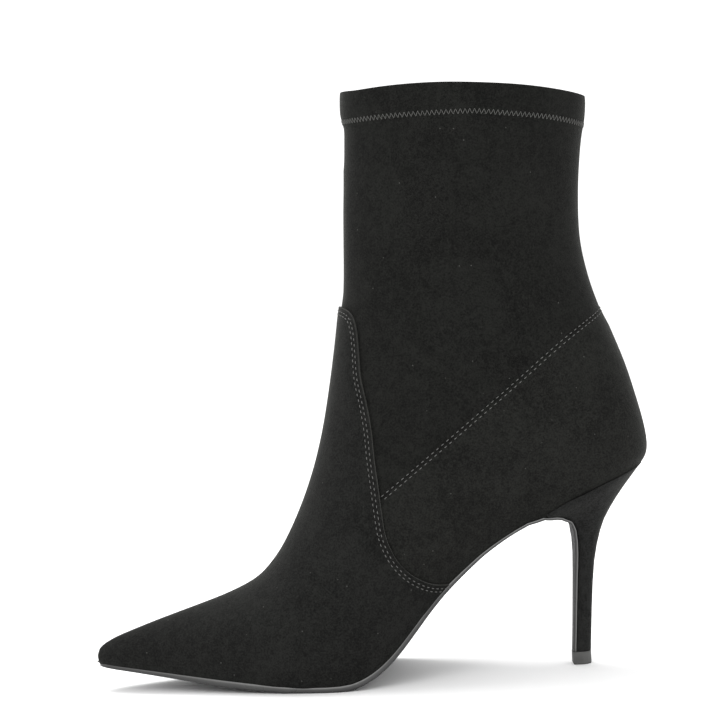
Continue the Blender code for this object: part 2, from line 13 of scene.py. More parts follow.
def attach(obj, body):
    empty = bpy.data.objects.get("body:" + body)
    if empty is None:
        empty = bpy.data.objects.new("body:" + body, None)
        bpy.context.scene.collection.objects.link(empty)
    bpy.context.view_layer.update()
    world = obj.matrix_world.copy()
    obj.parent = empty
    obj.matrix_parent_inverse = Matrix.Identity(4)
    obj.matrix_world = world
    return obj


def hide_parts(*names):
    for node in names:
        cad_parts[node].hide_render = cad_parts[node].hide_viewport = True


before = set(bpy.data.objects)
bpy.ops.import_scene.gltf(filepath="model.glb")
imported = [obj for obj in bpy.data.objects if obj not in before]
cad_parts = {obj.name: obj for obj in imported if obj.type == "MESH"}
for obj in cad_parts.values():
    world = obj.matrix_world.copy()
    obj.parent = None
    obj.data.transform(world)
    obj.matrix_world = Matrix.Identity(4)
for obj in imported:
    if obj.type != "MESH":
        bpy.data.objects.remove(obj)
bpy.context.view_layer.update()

MM = 0.001


# The upper
# A sock-like shaft and foot of black stretch suede, bonded to its backing and lining. Its top edge
# is folded in as a hem, and its lower edge is lasted over the insole, where the sole hides it.

SUEDE_SLOT = 0
LINING_SLOT = 1
RIM_ANGLE = math.radians(60)
# An edge that rises by more than this share of its length is upright, and no part of a rim
UPRIGHT = 0.85
FOLD_CREASE = 0.9
# How far a point may shift to keep the form, as a share of its shortest edge
MOST_SHIFT = 0.35
FOLD_ROUND = 0.6 * MM
SHARP_TURN = math.radians(42)
SMOOTH_TURN = math.radians(38)
FACING_DEPTH = 11 * MM
HEM_LOW = 222 * MM
HEM_HIGH = 246 * MM
HEM_TURNS = 36
# How fast a crease fades along its run and across it, and how much of a place's sideways distance
# from its middle counts
FADE_ALONG = 1.6
FADE_ACROSS = 1.2
SIDEWAYS = 0.35
# Where the stretch suede bends or slackens on the foot: the middle of each trough in millimetres,
# the way it runs, its half length and half width, and its depth, which is a ridge if negative
CREASES = [
    ((6, -24, 176), (0.93, 0, 0.36), 16, 3.4, 0.67),
    ((8, -25, 168), (0.95, 0, 0.30), 15, 3.2, -0.42),
    ((6, 24, 175), (0.93, 0, 0.36), 17, 3.4, 0.67),
    ((9, 26, 166), (0.95, 0, 0.28), 14, 3.2, -0.42),
    ((88, -16, 182), (0.94, 0, -0.33), 15, 3.6, 0.64),
    ((90, -15, 172), (0.95, 0, -0.3), 14, 3.4, -0.38),
    ((88, 16, 181), (0.94, 0, -0.34), 15, 3.6, 0.67),
    ((90, 15, 171), (0.96, 0, -0.28), 14, 3.4, -0.38),
    ((44, -33, 214), (0.3, 0, 0.95), 26, 9, 0.48),
    ((52, 34, 208), (-0.28, 0, 0.96), 28, 9, 0.54),
    ((24, -33, 148), (0.55, 0, 0.83), 18, 5, 0.42),
    ((26, 33, 150), (0.6, 0, 0.8), 18, 5, 0.42),
    ((-50, -26, 50), (0.5, 0, 0.86), 15, 4, 0.35),
    ((-52, 27, 49), (0.46, 0, 0.88), 15, 4, 0.38),
    ((-42, -28, 58), (0.46, 0, 0.88), 14, 4, -0.26),
    ((-44, 29, 57), (0.43, 0, 0.9), 14, 4, -0.26),
]
# Where pieces settle, as place, shift and reach in the side view in millimetres: round the arch's
# end, where sole, heel and upper bend down together, where the suede rounds the toe's tip, and
# where the collar's front corner stands a little higher
ARCH_END = [(74.5, 69.5, 0, -1.8, 4.6), (85.5, 62.5, 0.6, 1.3, 4.2), (85, 65.8, -0.4, -0.5, 3.4)]
TOE_TIP = [(-121.3, 15.2, -1.0, 0, 3.0)]
COLLAR_FRONT = [(-2.5, 254, 0, 0.9, 5)]


def piece_from(node, name):
    """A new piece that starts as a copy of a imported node's mesh, merged and back in quads."""
    bpy.ops.object.select_all(action="DESELECT")
    piece = bpy.data.objects.new(name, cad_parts[node].data.copy())
    piece.data.materials.clear()
    bpy.context.scene.collection.objects.link(piece)
    bpy.context.view_layer.objects.active = piece
    piece.select_set(True)
    bpy.ops.object.mode_set(mode="EDIT")
    bpy.ops.mesh.select_all(action="SELECT")
    bpy.ops.mesh.remove_doubles(threshold=0.005 * MM)
    bpy.ops.mesh.tris_convert_to_quads(face_threshold=math.pi, shape_threshold=math.pi)
    bpy.ops.object.mode_set(mode="OBJECT")
    return piece


def places(mesh):
    """A mesh's points as an array with a row for each."""
    flat = np.empty(len(mesh.vertices) * 3)
    mesh.vertices.foreach_get("co", flat)
    return flat.reshape(-1, 3)


def move_to(mesh, points):
    mesh.vertices.foreach_set("co", points.ravel())
    mesh.update()


def apply_all(piece):
    """Applies a piece's modifiers in their order."""
    bpy.ops.object.select_all(action="DESELECT")
    bpy.context.view_layer.objects.active = piece
    piece.select_set(True)
    for modifier in list(piece.modifiers):
        bpy.ops.object.modifier_apply(modifier=modifier.name)


def refine(piece, levels):
    """Subdivides a piece, smooth through the points it had, so that its form stays the same."""
    subdivision = piece.modifiers.new("smooth", "SUBSURF")
    subdivision.levels = subdivision.render_levels = 1
    goal = places(piece.data)
    pairs = np.array([tuple(edge.vertices) for edge in piece.data.edges])
    lengths = np.linalg.norm(goal[pairs[:, 0]] - goal[pairs[:, 1]], axis=1)
    most = np.full(len(goal), np.inf)
    for end in (0, 1):
        np.minimum.at(most, pairs[:, end], MOST_SHIFT * lengths)
    for turn in range(5):
        bpy.context.view_layer.update()
        drawn = piece.evaluated_get(bpy.context.evaluated_depsgraph_get()).data
        shift = places(piece.data) - places(drawn)[: len(goal)]
        far = np.maximum(np.linalg.norm(shift, axis=1), 1e-9)
        move_to(piece.data, goal + shift * np.minimum(1, most / far)[:, None])
    subdivision.levels = subdivision.render_levels = levels
    apply_all(piece)
    piece.data.shade_smooth()


def regions(body, is_border):
    """The faces of a mesh in groups that its bordering edges divide, the largest first."""
    seen = set()
    groups = []
    for face in body.faces:
        if face in seen:
            continue
        seen.add(face)
        group = [face]
        for known in group:
            for edge in known.edges:
                if is_border(edge):
                    continue
                for other in edge.link_faces:
                    if other not in seen:
                        seen.add(other)
                        group.append(other)
        groups.append(group)
    return sorted(groups, key=len, reverse=True)


def is_rim(edge):
    """Whether an edge is a fold of a rim, and not a part of the pointed toe, which stands upright."""
    if edge.calc_face_angle(0) < RIM_ANGLE:
        return False
    a, b = edge.verts
    return abs(a.co.z - b.co.z) < UPRIGHT * edge.calc_length()


def tell_walls_apart(piece):
    """Gives the inner wall of a hollow piece the lining, and softens the folds at its rims."""
    body = bmesh.new()
    body.from_mesh(piece.data)
    walls = regions(body, is_rim)[:2]
    inner = min(walls, key=lambda wall: max(face.calc_center_median().y for face in wall))
    for face in inner:
        face.material_index = LINING_SLOT
    crease = body.edges.layers.float.new("crease_edge")
    for edge in body.edges:
        if is_rim(edge):
            edge[crease] = FOLD_CREASE
    body.to_mesh(piece.data)
    body.free()


def round_rims(piece, width):
    """Rounds the edges of a piece that turn sharply."""
    rounding = piece.modifiers.new("rounding", "BEVEL")
    rounding.width = width
    rounding.segments = 3
    rounding.limit_method = "ANGLE"
    rounding.angle_limit = SHARP_TURN
    rounding.use_clamp_overlap = True
    apply_all(piece)
    piece.data.shade_smooth()
    bpy.ops.object.shade_smooth_by_angle(angle=SMOOTH_TURN)


def press_creases(piece):
    """Moves both walls in and out together at the creases, sideways from the shoe's middle."""
    points = places(piece.data)
    for middle, way, half_length, half_width, depth in CREASES:
        middle = MM * np.array(middle)
        way = np.array(way) / np.linalg.norm(way)
        off = points - middle
        along = off @ way / (half_length * MM)
        across = np.hypot(off[:, 0] * way[2] - off[:, 2] * way[0], SIDEWAYS * off[:, 1]) / (half_width * MM)
        press = depth * MM * np.exp(-(along**2) * FADE_ALONG - across**2 * FADE_ACROSS)
        same_side = points[:, 1] * middle[1] > 0
        points[:, 1] -= np.where(same_side, press * np.sign(middle[1]), 0)
    move_to(piece.data, points)


def settle(piece, shifts):
    """Eases a piece where it settles against its neighbours, by soft shifts in the side view."""
    points = places(piece.data)
    for x, z, right, up, reach in shifts:
        off = np.hypot(points[:, 0] - x * MM, points[:, 2] - z * MM) / (reach * MM)
        share = np.exp(-(off**2))
        points[:, 0] += share * right * MM
        points[:, 2] += share * up * MM
    move_to(piece.data, points)


def soften_hem(piece):
    """Rounds the hem's lower edge, where the folded suede eases into the shaft."""
    points = places(piece.data)
    soft = piece.vertex_groups.new(name="hem")
    for at, height in enumerate(points[:, 2]):
        if HEM_LOW < height < HEM_HIGH:
            share = (height - HEM_LOW) / (HEM_HIGH - HEM_LOW)
            soft.add([at], min(1, 6 * share, 6 * (1 - share)), "REPLACE")
    ease = piece.modifiers.new("ease", "SMOOTH")
    ease.factor = 0.5
    ease.iterations = HEM_TURNS
    ease.vertex_group = "hem"
    apply_all(piece)


def mix(nodes, link, operation, first, second):
    """A Math node of two values, which are sockets or numbers, and its result."""
    math_node = nodes.new("ShaderNodeMath")
    math_node.operation = operation
    for socket, value in zip(math_node.inputs, (first, second)):
        if isinstance(value, (int, float)):
            socket.default_value = value
        else:
            link(value, socket)
    return math_node.outputs["Value"]


def band(nodes, link, attribute, middle, half_width):
    """One within a soft line at a distance in millimetres from a seam, and zero beside it."""
    far = nodes.new("ShaderNodeAttribute")
    far.attribute_name = attribute
    off = mix(nodes, link, "ABSOLUTE", mix(nodes, link, "SUBTRACT", far.outputs["Fac"], middle), 0)
    fade = nodes.new("ShaderNodeMapRange")
    fade.interpolation_type = "SMOOTHSTEP"
    fade.inputs["From Min"].default_value = half_width
    fade.inputs["From Max"].default_value = 0
    link(off, fade.inputs["Value"])
    return fade.outputs["Result"]


def suede(name, colour, sheen, troughs=(), light_lines=()):
    """Brushed black suede: a short nap that lies in patches, stray light fibres and a sheen.

    Troughs and light lines are (attribute, millimetres from the seam, half width, amount)."""
    made = bpy.data.materials.new(name)
    made.use_nodes = True
    nodes = made.node_tree.nodes
    link = made.node_tree.links.new
    shader = nodes["Principled BSDF"]
    shader.inputs["Roughness"].default_value = 0.92
    shader.inputs["Specular IOR Level"].default_value = 0.12
    shader.inputs["Sheen Weight"].default_value = sheen
    shader.inputs["Sheen Roughness"].default_value = 0.28
    shader.inputs["Sheen Tint"].default_value = (0.93, 0.94, 0.88, 1)
    where = nodes.new("ShaderNodeTexCoord").outputs["Object"]

    def noise(scale, detail, roughness, distortion=0.0):
        texture = nodes.new("ShaderNodeTexNoise")
        texture.inputs["Scale"].default_value = scale
        texture.inputs["Detail"].default_value = detail
        texture.inputs["Roughness"].default_value = roughness
        texture.inputs["Distortion"].default_value = distortion
        link(where, texture.inputs["Vector"])
        return texture.outputs["Fac"]

    patches = noise(38, 4, 0.55, 0.8)
    mottle = noise(330, 4, 0.6, 0.3)
    nap = noise(1300, 4, 0.75)
    fibres = noise(5200, 2, 0.6)
    shade = mix(nodes, link, "MULTIPLY", patches, 0.55)
    for layer, amount in ((mottle, 0.6), (nap, 1.8)):
        shade = mix(nodes, link, "ADD", shade, mix(nodes, link, "MULTIPLY", layer, amount))
    tones = nodes.new("ShaderNodeValToRGB")
    tones.color_ramp.elements[0].position = 0.55
    tones.color_ramp.elements[0].color = (*[0.45 * part for part in colour], 1)
    tones.color_ramp.elements[1].position = 1.0
    tones.color_ramp.elements[1].color = (*[1.7 * part for part in colour], 1)
    link(mix(nodes, link, "SUBTRACT", shade, 0.69), tones.inputs["Fac"])
    specks = nodes.new("ShaderNodeTexVoronoi")
    specks.inputs["Scale"].default_value = 150
    link(where, specks.inputs["Vector"])
    stray = nodes.new("ShaderNodeMapRange")
    stray.inputs["From Min"].default_value = 0.05
    stray.inputs["From Max"].default_value = 0.02
    stray.inputs["To Max"].default_value = 0.75
    link(specks.outputs["Distance"], stray.inputs["Value"])
    lit = stray.outputs["Result"]
    for attribute, middle, half_width, amount in light_lines:
        line = mix(nodes, link, "MULTIPLY", band(nodes, link, attribute, middle, half_width), amount)
        lit = mix(nodes, link, "MAXIMUM", lit, line)
    lighten = nodes.new("ShaderNodeMix")
    lighten.data_type = "RGBA"
    link(lit, lighten.inputs["Factor"])
    link(tones.outputs["Color"], lighten.inputs["A"])
    lighten.inputs["B"].default_value = (0.085, 0.086, 0.08, 1)
    link(lighten.outputs["Result"], shader.inputs["Base Color"])
    height = mix(nodes, link, "MULTIPLY", mottle, 0.14)
    for layer, amount in ((nap, 0.14), (fibres, 0.04)):
        height = mix(nodes, link, "ADD", height, mix(nodes, link, "MULTIPLY", layer, amount))
    for attribute, middle, half_width, amount in troughs:
        line = mix(nodes, link, "MULTIPLY", band(nodes, link, attribute, middle, half_width), amount)
        height = mix(nodes, link, "SUBTRACT", height, line)
    bump = nodes.new("ShaderNodeBump")
    bump.inputs["Strength"].default_value = 0.8
    bump.inputs["Distance"].default_value = MM
    link(height, bump.inputs["Height"])
    link(bump.outputs["Normal"], shader.inputs["Normal"])
    return made


def lining_cloth():
    """The lining inside the shaft: a plain dark knit, bonded flat."""
    made = bpy.data.materials.new("dark lining")
    made.use_nodes = True
    nodes = made.node_tree.nodes
    link = made.node_tree.links.new
    shader = nodes["Principled BSDF"]
    shader.inputs["Roughness"].default_value = 0.85
    shader.inputs["Specular IOR Level"].default_value = 0.2
    where = nodes.new("ShaderNodeTexCoord")
    knit = nodes.new("ShaderNodeTexVoronoi")
    knit.inputs["Scale"].default_value = 1400
    link(where.outputs["Object"], knit.inputs["Vector"])
    # The knit is painted darker towards its cells' edges, where the bump sinks: painted shade between the
    # loops.
    tones = nodes.new("ShaderNodeValToRGB")
    tones.color_ramp.elements[0].color = (0.03, 0.028, 0.026, 1)
    tones.color_ramp.elements[1].color = (0.012, 0.011, 0.011, 1)
    link(knit.outputs["Distance"], tones.inputs["Fac"])
    link(tones.outputs["Color"], shader.inputs["Base Color"])
    bump = nodes.new("ShaderNodeBump")
    bump.invert = True
    bump.inputs["Strength"].default_value = 0.5
    bump.inputs["Distance"].default_value = 0.15 * MM
    link(knit.outputs["Distance"], bump.inputs["Height"])
    link(bump.outputs["Normal"], shader.inputs["Normal"])
    return made


upper = piece_from("upper", "upper_suede")
tell_walls_apart(upper)
refine(upper, 2)
round_rims(upper, FOLD_ROUND)
press_creases(upper)
soften_hem(upper)
settle(upper, [*ARCH_END, *TOE_TIP, *COLLAR_FRONT])
rim_height = max(point[2] for point in places(upper.data))
for face in upper.data.polygons:
    if face.center.z > rim_height - FACING_DEPTH:
        if face.material_index == LINING_SLOT:
            face.material_index = SUEDE_SLOT + 2
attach(upper, "root")
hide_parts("upper")


# The vamp
# One piece of the same suede over the toe and the instep, up to a rounded tongue in front of the
# ankle. Its back edge is cut raw, lapped over the quarter and the shaft, and sewn with two rows.

VAMP_LIFT = 1.2 * MM
VAMP_THICK = 0.9 * MM
# The vamp's back edge in the side view, in millimetres, from its tongue down past the sole
VAMP_EDGE = [
    (-14, 163.1),
    (-8.3, 163.1),
    (-3.6, 160.6),
    (-1.5, 154.5),
    (-1.0, 144.7),
    (-0.7, 133.2),
    (1.2, 122.0),
    (2.6, 111.0),
    (3.2, 98.8),
    (4.2, 87.1),
    (5.1, 76.5),
    (6.3, 66.0),
    (9.6, 57.0),
    (14.6, 50.2),
    (20.8, 45.4),
    (27.5, 42.6),
    (38, 41.2),
]
VAMP_FRONT = [(60, 41.2), (60, -40), (-200, -40), (-200, 163.1)]
CLOSE_TO_CUT = 0.15
LINE_STEP = 0.5 * MM
THREAD_RISE = 0.08 * MM
SMOOTHING_STEP = 0.4 * MM
SMOOTHING_TURNS = 12
MEASURING_STEP = 0.25 * MM
OFF_THE_EDGE = 0.12 * MM
EDGE_EASE = 0.12 * MM
EASED_TURN = math.radians(60)


def smooth_line(points, steps=8):
    """A smooth side-view line through points in millimetres, as an array in metres."""
    knots = [points[0], *points, points[-1]]
    line = []
    for a, b, c, d in zip(knots, knots[1:], knots[2:], knots[3:]):
        for step in range(steps):
            t = step / steps
            line.append([
                0.5 * (
                    2 * q + (r - p) * t
                    + (2 * p - 5 * q + 4 * r - s) * t**2
                    + (3 * q - p - 3 * r + s) * t**3
                )
                for p, q, r, s in zip(a, b, c, d)
            ])
    line.append(points[-1])
    return MM * np.array(line)


def within(outline, points):
    """How far points are inside an outline in the side view, negative outside it."""
    flat = points[:, None, [0, 2]]
    run = np.roll(outline, -1, axis=0) - outline
    off = flat - outline
    share = np.clip((off * run).sum(axis=2) / (run**2).sum(axis=1), 0, 1)
    gap = np.linalg.norm(off - share[:, :, None] * run, axis=2).min(axis=1)
    crosses = (off[:, :, 1] < 0) != (off[:, :, 1] - run[:, 1] < 0)
    slope = run[:, 0] / np.where(run[:, 1] == 0, 1, run[:, 1])
    to_the_right = off[:, :, 0] < slope * off[:, :, 1]
    inside = (crosses & to_the_right).sum(axis=1) % 2 == 1
    return np.where(inside, gap, -gap)


def outer_skin(name):
    """A copy of the upper's outer wall alone in triangles, to cut a leather piece from."""
    skin = bpy.data.objects.new(name, upper.data.copy())
    bpy.context.scene.collection.objects.link(skin)
    body = bmesh.new()
    body.from_mesh(skin.data)
    inside = [face for face in body.faces if face.material_index != SUEDE_SLOT]
    bmesh.ops.delete(body, geom=inside, context="FACES")
    largest = set(regions(body, is_rim)[0])
    rest = [face for face in body.faces if face not in largest]
    bmesh.ops.delete(body, geom=rest, context="FACES")
    bmesh.ops.triangulate(body, faces=list(body.faces))
    body.to_mesh(skin.data)
    body.free()
    return skin


def chain(edges):
    """The places along the longest chain of edges, in order."""
    links = {}
    for edge in edges:
        for vert in edge.verts:
            links.setdefault(vert, []).append(edge.other_vert(vert))
    longest = []
    left = set(links)
    while left:
        ends = [vert for vert in left if len(links[vert]) == 1] or list(left)
        at = min(ends, key=lambda vert: tuple(vert.co))
        line = [at]
        left.discard(at)
        while True:
            following = [vert for vert in links[at] if vert in left]
            if not following:
                break
            at = following[0]
            left.discard(at)
            line.append(at)
        if len(line) > len(longest):
            longest = line
    return [vert.co.copy() for vert in longest]


def trim(skin, field):
    """Cuts a skin where a field of its points is zero, keeps the positive part, and returns the
    places along the cut."""
    body = bmesh.new()
    body.from_mesh(skin.data)
    depth = dict(zip(body.verts, field(places(skin.data))))
    for edge in body.edges:
        a, b = edge.verts
        if depth[a] * depth[b] < 0:
            share = depth[a] / (depth[a] - depth[b])
            near = a if share < CLOSE_TO_CUT else b if share > 1 - CLOSE_TO_CUT else None
            if near:
                near.co = a.co.lerp(b.co, share)
                depth[near] = 0
    for edge in list(body.edges):
        a, b = edge.verts
        if depth[a] * depth[b] < 0:
            fresh = bmesh.utils.edge_split(edge, a, depth[a] / (depth[a] - depth[b]))[1]
            depth[fresh] = 0
    for face in list(body.faces):
        cut = [vert for vert in face.verts if depth[vert] == 0]
        signs = [depth[vert] for vert in face.verts]
        if min(signs) < 0 < max(signs):
            bmesh.utils.face_split(face, cut[0], cut[1])
    unwanted = [face for face in body.faces if min(depth[vert] for vert in face.verts) < 0]
    bmesh.ops.delete(body, geom=unwanted, context="FACES")
    border = [edge for edge in body.edges if edge.is_boundary]
    line = chain([edge for edge in border if not any(depth[vert] for vert in edge.verts)])
    body.to_mesh(skin.data)
    body.free()
    return line


def even(line, step, closed=False):
    """A line in space with even steps, slightly smoothed."""
    points = np.array([list(point) for point in line])
    if closed:
        points = np.vstack([points, points[:1]])
    for size, turns in ((SMOOTHING_STEP, SMOOTHING_TURNS), (step, 0)):
        reach = np.concatenate([[0], np.cumsum(np.linalg.norm(np.diff(points, axis=0), axis=1))])
        marks = np.linspace(0, reach[-1], max(3, round(reach[-1] / size) + 1))
        points = np.stack([np.interp(marks, reach, points[:, axis]) for axis in range(3)], axis=1)
        for turn in range(turns):
            points[1:-1] = (points[:-2] + 2 * points[1:-1] + points[2:]) / 4
    return [Vector(point) for point in points]


def distance_to(line, points):
    """The distance in millimetres from each point to a line in space."""
    marks = even(line, MEASURING_STEP)
    tree = KDTree(len(marks))
    for number, mark in enumerate(marks):
        tree.insert(mark, number)
    tree.balance()
    return np.array([tree.find(point)[2] / MM for point in points])


def note_distance(piece, name, values):
    """Keeps a number for each point of a piece, for its material to read."""
    kept = piece.data.attributes.new(name, "FLOAT", "POINT")
    kept.data.foreach_set("value", values)


def surface_of(skin):
    """A skin's triangles in a tree that finds the nearest place on it."""
    skin.data.calc_loop_triangles()
    faces = [tuple(triangle.vertices) for triangle in skin.data.loop_triangles]
    return BVHTree.FromPolygons([vertex.co.copy() for vertex in skin.data.vertices], faces)


def beside(line, surface, distance, side):
    """The line that runs on a surface at a distance beside another, where the surface goes."""
    steps = max(1, math.ceil(distance / LINE_STEP))
    run = []
    for before, at, after in zip(line, line[1:], line[2:]):
        along = (after - before).normalized()
        here, normal = surface.find_nearest(at)[:2]
        for step in range(steps):
            goal = here + side * distance / steps * normal.cross(along).normalized()
            here, normal, number, gap = surface.find_nearest(goal)
            if gap > OFF_THE_EDGE:
                break
        else:
            run.append(here)
    return run


def stitch_unit():
    """One stitch of thick thread: a plump strand that bends down into its two holes."""
    bpy.ops.object.select_all(action="DESELECT")
    bpy.ops.mesh.primitive_uv_sphere_add(segments=8, ring_count=8, radius=0.5, rotation=(0, math.pi / 2, 0))
    unit = bpy.context.active_object
    bpy.ops.object.transform_apply(location=False, rotation=True, scale=True)
    points = places(unit.data)
    fullness = np.sqrt(np.clip(1 - (2 * points[:, 0]) ** 2, 0, 1))
    plump = np.where(fullness > 0, np.minimum(1.0, fullness * 1.5) / np.maximum(fullness, 0.01), 1)
    points[:, 1] *= plump
    points[:, 2] = points[:, 2] * plump - 1.1 * points[:, 0] ** 2
    move_to(unit.data, points)
    unit.data.shade_smooth()
    return unit


def thread(name, colour):
    """Twisted polyester thread, its plies as slanting bands along each stitch."""
    made = bpy.data.materials.new(name)
    made.use_nodes = True
    nodes = made.node_tree.nodes
    link = made.node_tree.links.new
    shader = nodes["Principled BSDF"]
    shader.inputs["Roughness"].default_value = 0.55
    shader.inputs["Specular IOR Level"].default_value = 0.4
    plies = nodes.new("ShaderNodeTexWave")
    plies.bands_direction = "DIAGONAL"
    plies.inputs["Scale"].default_value = 1.6
    link(nodes.new("ShaderNodeUVMap").outputs["UV"], plies.inputs["Vector"])
    # The bands are painted darker where the bump sinks between the plies: painted shade in the grooves.
    tones = nodes.new("ShaderNodeValToRGB")
    tones.color_ramp.elements[0].color = (*[0.6 * part for part in colour], 1)
    tones.color_ramp.elements[1].color = (*[1.15 * part for part in colour], 1)
    link(plies.outputs["Fac"], tones.inputs["Fac"])
    link(tones.outputs["Color"], shader.inputs["Base Color"])
    bump = nodes.new("ShaderNodeBump")
    bump.inputs["Strength"].default_value = 0.6
    bump.inputs["Distance"].default_value = 0.05 * MM
    link(plies.outputs["Fac"], bump.inputs["Height"])
    link(bump.outputs["Normal"], shader.inputs["Normal"])
    return made


def joined(name, unit, matrices):
    """One mesh of many copies of a unit, each at its own matrix."""
    count = len(unit.data.vertices)
    corners = places(unit.data)
    points = []
    faces = []
    for number, matrix in enumerate(matrices):
        turned = np.array(matrix)
        points.extend(corners @ turned[:3, :3].T + turned[:3, 3])
        faces.extend([[number * count + at for at in face.vertices] for face in unit.data.polygons])
    mesh = bpy.data.meshes.new(name)
    mesh.from_pydata(points, [], faces)
    wrap = np.empty(2 * len(unit.data.loops))
    unit.data.uv_layers.active.data.foreach_get("uv", wrap)
    mesh.uv_layers.new(name="strand").data.foreach_set("uv", np.tile(wrap, len(matrices)))
    mesh.shade_smooth()
    piece = bpy.data.objects.new(name, mesh)
    bpy.context.scene.collection.objects.link(piece)
    return piece


def lay_stitch(start, end, surface, rise, width):
    """The matrix that lays a stitch from one hole to the next, on top of a piece."""
    middle, normal = surface.find_nearest((start + end) / 2)[:2]
    along = (end - start).normalized()
    across = normal.cross(along).normalized()
    up = along.cross(across)
    size = (end - start).length
    turn = Matrix((along * size, across * width, up * width)).transposed()
    return Matrix.Translation(middle + up * rise) @ turn.to_4x4()


def row_of_stitches(line, surface, pitch, share, rise, width, shift=0.0):
    """Stitches in a row along a line, each filling a share of the pitch."""
    marks = even(line, pitch / 8)
    laid = []
    for first in range(round(8 * shift), len(marks) - 8, 8):
        last = first + max(1, round(8 * share))
        laid.append(lay_stitch(marks[first], marks[last], surface, rise, width))
    return laid


def leather(skin, thickness, weights=None):
    """Gives a raised skin its thickness inwards and eases its cut edges."""
    wall = skin.modifiers.new("wall", "SOLIDIFY")
    wall.thickness = thickness
    wall.offset = -1
    wall.material_offset_rim = 1
    if weights is not None:
        group = skin.vertex_groups.new(name="thickness")
        for at, weight in enumerate(weights):
            group.add([at], float(weight), "REPLACE")
        wall.vertex_group = "thickness"
    ease = skin.modifiers.new("ease", "BEVEL")
    ease.width = EDGE_EASE
    ease.segments = 2
    ease.limit_method = "ANGLE"
    ease.angle_limit = EASED_TURN
    apply_all(skin)
    skin.data.shade_smooth()
    bpy.ops.object.shade_smooth_by_angle(angle=math.radians(50))


def raise_by(skin, lifts):
    """Moves each point of a skin outwards along its normal."""
    normals = np.array([list(vertex.normal) for vertex in skin.data.vertices])
    move_to(skin.data, places(skin.data) + normals * np.asarray(lifts).reshape(-1, 1))


ROWS_IN = (1.75, 3.25)
ROW_PITCH = 2.5 * MM
ROW_THREAD = 0.38 * MM
ROW_SHARE = 0.56

vamp_outline = np.vstack([smooth_line(VAMP_EDGE), MM * np.array(VAMP_FRONT)])
vamp = outer_skin("vamp_suede")
raise_by(vamp, np.full(len(vamp.data.vertices), VAMP_LIFT))
vamp_line = trim(vamp, lambda points: within(vamp_outline, points))
vamp_surface = surface_of(vamp)
note_distance(vamp, "from_edge", distance_to(vamp_line, [vertex.co for vertex in vamp.data.vertices]))
leather(vamp, VAMP_THICK)
vamp.data.materials.clear()
vamp_rows = [("from_edge", row, 0.55, 0.16) for row in ROWS_IN]
# The vamp's suede is painted lighter in a thin line along its cut edge.
edge_light_line = [("from_edge", 0, 0.45, 0.35)]
# The vamp's suede is a lighter copy of the shaft's black suede: painted light on the toe and instep.
vamp_suede = suede("black suede, vamp", (0.0074, 0.0076, 0.007), 0.09, vamp_rows, edge_light_line)
vamp.data.materials.append(vamp_suede)
vamp.data.materials.append(suede("cut edge of the suede", (0.035, 0.035, 0.033), 0.1))
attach(vamp, "root")
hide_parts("vamp")

stitch = stitch_unit()
even_edge = even(vamp_line, LINE_STEP)
laid = []
for turn, inset in enumerate(ROWS_IN):
    row = max((beside(even_edge, vamp_surface, inset * MM, side) for side in (1, -1)), key=len)
    laid += row_of_stitches(row, vamp_surface, ROW_PITCH, ROW_SHARE, THREAD_RISE, ROW_THREAD, 0.5 * turn)
vamp_stitches = joined("vamp_stitches", stitch, laid)
grey_thread = thread("grey thread", (0.1, 0.1, 0.095))
vamp_stitches.data.materials.append(grey_thread)
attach(vamp_stitches, "root")


# The quarter
# The back and sides of the foot, in the same suede, moulded over a stiff counter. Its top edge
# meets the shaft in a flat diagonal seam with a row of stitches on either side, and its front
# edge lies under the vamp's.

QUARTER_LIFT = 0.8 * MM
QUARTER_THICK = 0.5 * MM
SEAM_LIFT = 0.16 * MM
SEAM_FADE = 8.0
VAMP_FADE = 5
THIN_SHARE = 0.2
UNDER_VAMP = 1.6 * MM
SEAM_PITCH = 2.8 * MM
ROW_FROM_SEAM = 0.8
CLEAR_OF_VAMP = 0.6 * MM
LONGEST_STEP = 3 * MM
# The diagonal seam in the side view, in millimetres, from under the vamp up past the back
SEAM = [
    (-20, 62.5), (4.8, 81.0), (28.7, 99.3), (59.8, 123.4), (85.6, 143.7), (105.5, 155.7), (122, 163.5),
]
QUARTER_BACK = [(160, 175), (160, -40), (-20, -40)]

quarter_outline = np.vstack([smooth_line(SEAM), MM * np.array(QUARTER_BACK)])
whole_skin = outer_skin("skin_for_the_seam")
full_surface = surface_of(whole_skin)
quarter = outer_skin("quarter_suede")
seam_line = trim(quarter, lambda points: within(quarter_outline, points))
trim(quarter, lambda points: UNDER_VAMP - within(vamp_outline, points))
quarter_points = [vertex.co.copy() for vertex in quarter.data.vertices]
from_seam = distance_to(seam_line, quarter_points)
behind_vamp = -within(vamp_outline, places(quarter.data)) / MM
note_distance(quarter, "from_seam", from_seam)


def eased(share):
    """A share from 0 to 1 that starts and ends gently."""
    share = np.clip(share, 0, 1)
    return share * share * (3 - 2 * share)


fullness = eased(np.minimum(from_seam / SEAM_FADE, (behind_vamp + UNDER_VAMP / MM) / VAMP_FADE))
raise_by(quarter, SEAM_LIFT + (QUARTER_LIFT - SEAM_LIFT) * fullness)
leather(quarter, QUARTER_THICK, THIN_SHARE + (1 - THIN_SHARE) * fullness)
quarter.data.materials.clear()
quarter_rows = [("from_seam", ROW_FROM_SEAM, 0.5, 0.1), ("from_seam", 0, 0.3, 0.14)]
# The quarter's suede is a lighter, warmer copy of the shaft's: painted light on the ankle.
quarter_suede = suede("black suede, quarter", (0.0083, 0.0085, 0.0076), 0.09, quarter_rows)
quarter.data.materials.append(quarter_suede)
quarter.data.materials.append(suede("cut edge of the quarter", (0.012, 0.012, 0.0115), 0.1))
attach(quarter, "root")
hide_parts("quarter")

